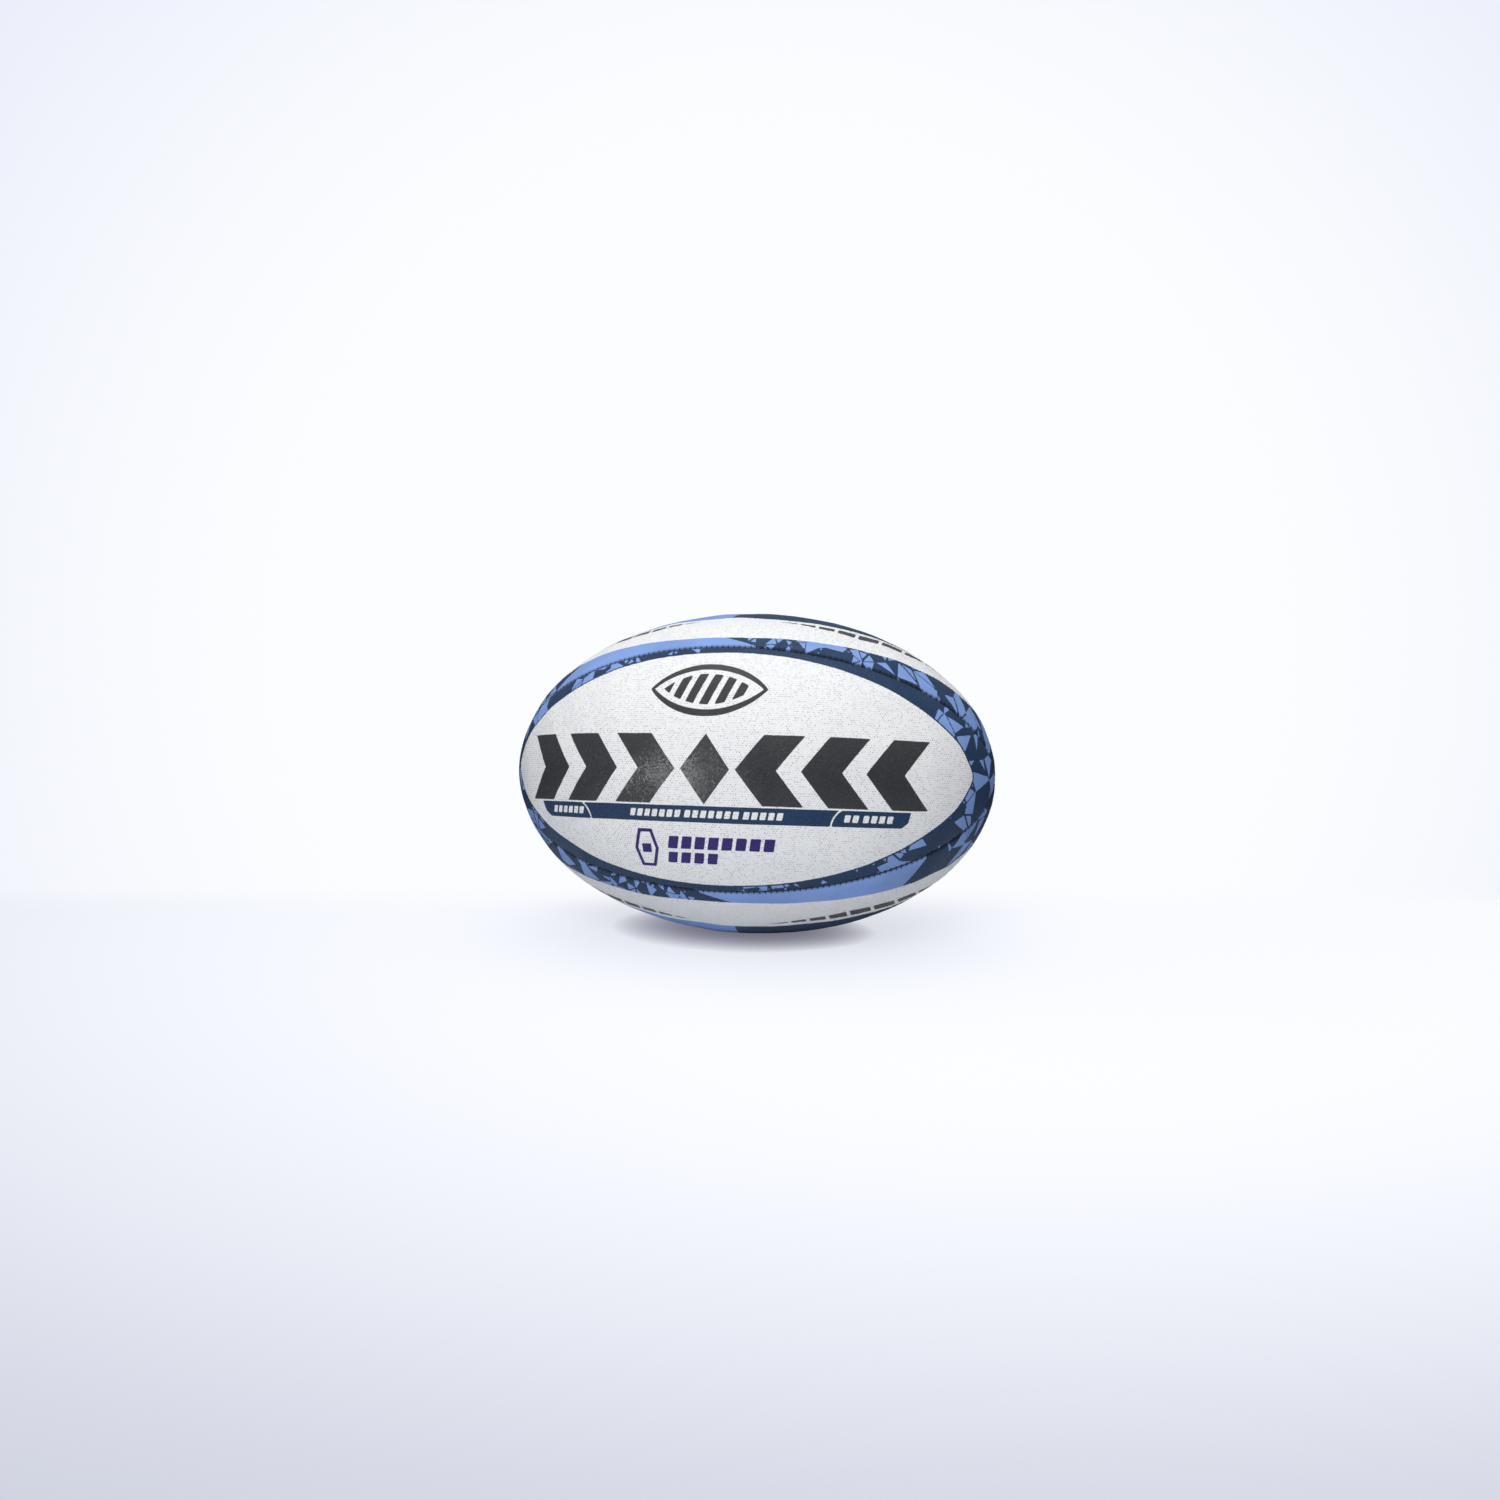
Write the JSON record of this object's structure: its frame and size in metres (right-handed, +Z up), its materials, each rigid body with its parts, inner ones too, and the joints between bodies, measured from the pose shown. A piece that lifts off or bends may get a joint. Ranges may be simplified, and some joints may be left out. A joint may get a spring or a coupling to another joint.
{
  "type": "rugby ball",
  "caption": "Oval rugby ball of sewn, pimpled rubber panels over fabric plies and an inflated bladder, with an inflation valve.",
  "frame": {"origin": "centre of the ball, lying on its belly", "axes": "+X along the ball's long axis, -Y out of the front panel's side, +Z up; the four panels are rolled 8.6 degrees about X, so the front panel's middle points slightly up"},
  "size_m": [0.289, 0.191, 0.191],
  "materials": {
    "printed_cover": "pimpled grip rubber, satin, printed in navy, light blue, charcoal and purple on white",
    "ply_fabric": "plain woven polycotton, rubber coated",
    "seam_thread": "waxed twisted polyester thread",
    "bladder_rubber": "smooth thin latex, dusted with talc",
    "valve_rubber": "moulded soft rubber, matt",
    "valve_core_rubber": "moulded soft rubber, slightly shiny from valve lubricant",
    "patch_fabric": "heavy woven tape, rubber coated"
  },
  "bodies": {
    "root": {"cover_front": "printed_cover", "cover_top": "printed_cover", "cover_back": "printed_cover", "cover_bottom": "printed_cover", "ply_1_front": "ply_fabric", "ply_1_top": "ply_fabric", "ply_1_back": "ply_fabric", "ply_1_bottom": "ply_fabric", "ply_2_front": "ply_fabric", "ply_2_top": "ply_fabric", "ply_2_back": "ply_fabric", "ply_2_bottom": "ply_fabric", "ply_3_front": "ply_fabric", "ply_3_top": "ply_fabric", "ply_3_back": "ply_fabric", "ply_3_bottom": "ply_fabric", "seam_thread_front_top": "seam_thread", "seam_thread_top_back": "seam_thread", "seam_thread_back_bottom": "seam_thread", "seam_thread_bottom_front": "seam_thread", "bladder": "bladder_rubber", "valve_housing": "valve_rubber", "valve_core": "valve_core_rubber", "valve_patch": "patch_fabric"}
  },
  "joints": []
}
